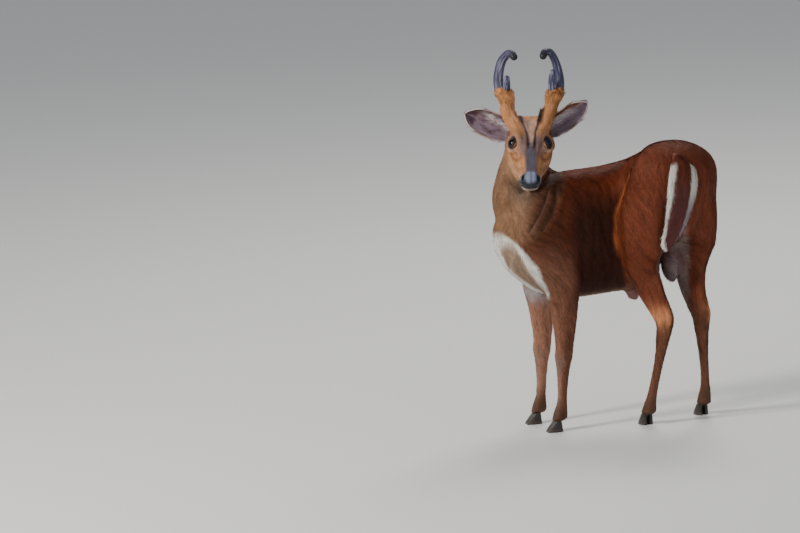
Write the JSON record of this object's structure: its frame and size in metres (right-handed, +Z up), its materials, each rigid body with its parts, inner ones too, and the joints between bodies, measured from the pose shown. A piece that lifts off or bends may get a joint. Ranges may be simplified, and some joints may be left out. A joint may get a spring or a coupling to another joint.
{
  "type": "muntjac figure",
  "caption": "Life-size still model of a standing muntjac buck that looks back over its shoulder, with velvet antlers on long pedicles.",
  "frame": {"origin": "on the ground under the middle of the bounding box, at the level of the soles", "axes": "+Z up, +X towards the rump, -Y towards the viewer whom the head faces; the animal's chest is towards -X"},
  "size_m": [0.5484, 0.2892, 0.8464],
  "materials": {
    "body_coat": "short glossy dark chestnut hair",
    "neck_coat": "short grey-brown hair, white on the chest",
    "face_coat": "very short tan and orange hair",
    "leg_coat": "very short red-brown hair",
    "tail_hair": "long dark red hair with a white fringe",
    "ear_hair": "thin short hair, grey inside",
    "velvet": "slate-grey velvet skin",
    "eye": "dark wet eye",
    "hoof": "dark horn"
  },
  "bodies": {
    "root": {"antler_left": "velvet", "antler_right": "velvet", "brow_tine_left": "velvet", "brow_tine_right": "velvet", "ear_left": "ear_hair", "ear_right": "ear_hair", "eye_left": "eye", "eye_right": "eye", "foreleg_left": "leg_coat", "foreleg_right": "leg_coat", "head": "face_coat", "hindleg_left": "leg_coat", "hindleg_right": "leg_coat", "hoof_fore_left_inner": "hoof", "hoof_fore_left_outer": "hoof", "hoof_fore_right_inner": "hoof", "hoof_fore_right_outer": "hoof", "hoof_hind_left_inner": "hoof", "hoof_hind_left_outer": "hoof", "hoof_hind_right_inner": "hoof", "hoof_hind_right_outer": "hoof", "neck": "neck_coat", "pedicle_left": "face_coat", "pedicle_right": "face_coat", "tail": "tail_hair", "torso": "body_coat"}
  },
  "joints": []
}
